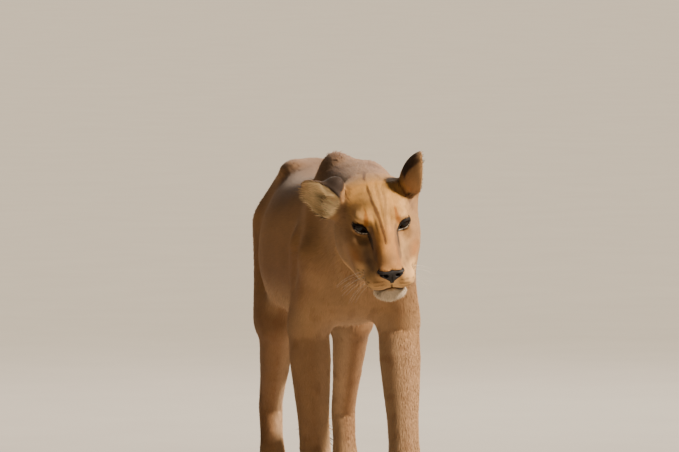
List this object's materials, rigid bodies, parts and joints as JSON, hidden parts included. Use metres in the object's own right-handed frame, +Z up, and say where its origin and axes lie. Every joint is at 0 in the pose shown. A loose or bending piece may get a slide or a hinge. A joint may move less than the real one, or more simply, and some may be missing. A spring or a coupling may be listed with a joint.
{
  "type": "lioness, life-size walking model",
  "caption": "Still life-size lioness, walking slowly with her head held low, divided into head, jaw, ears, eyes, nose, neck, trunk, legs, paws and tail; stands on her paws.",
  "frame": {"origin": "on the floor, under the centre of the model's bounding box", "axes": "+Z up; she faces -Y, the tail trails to +Y, her left side is +X"},
  "size_m": [0.3768, 1.8122, 0.9466],
  "materials": {
    "coat": "short tawny fur",
    "pale_coat": "short cream fur",
    "tail_tuft": "long blackish-brown hair",
    "nose_leather": "bare, slightly moist skin",
    "eye": "wet, amber-brown"
  },
  "bodies": {
    "root": {"belly": "coat", "chest": "coat", "ear_left": "coat", "ear_right": "coat", "eye_left": "eye", "eye_right": "eye", "forearm_left": "coat", "forearm_right": "coat", "forepaw_left": "pale_coat", "forepaw_right": "pale_coat", "head": "coat", "hind_paw_left": "pale_coat", "hind_paw_right": "pale_coat", "hindquarters": "coat", "hock_left": "coat", "hock_right": "coat", "lower_jaw": "pale_coat", "neck": "coat", "nose": "nose_leather", "shank_left": "coat", "shank_right": "coat", "tail_end": "coat", "tail_root": "coat", "tail_tuft": "tail_tuft", "thigh_left": "coat", "thigh_right": "coat", "upper_arm_left": "coat", "upper_arm_right": "coat"}
  },
  "joints": []
}
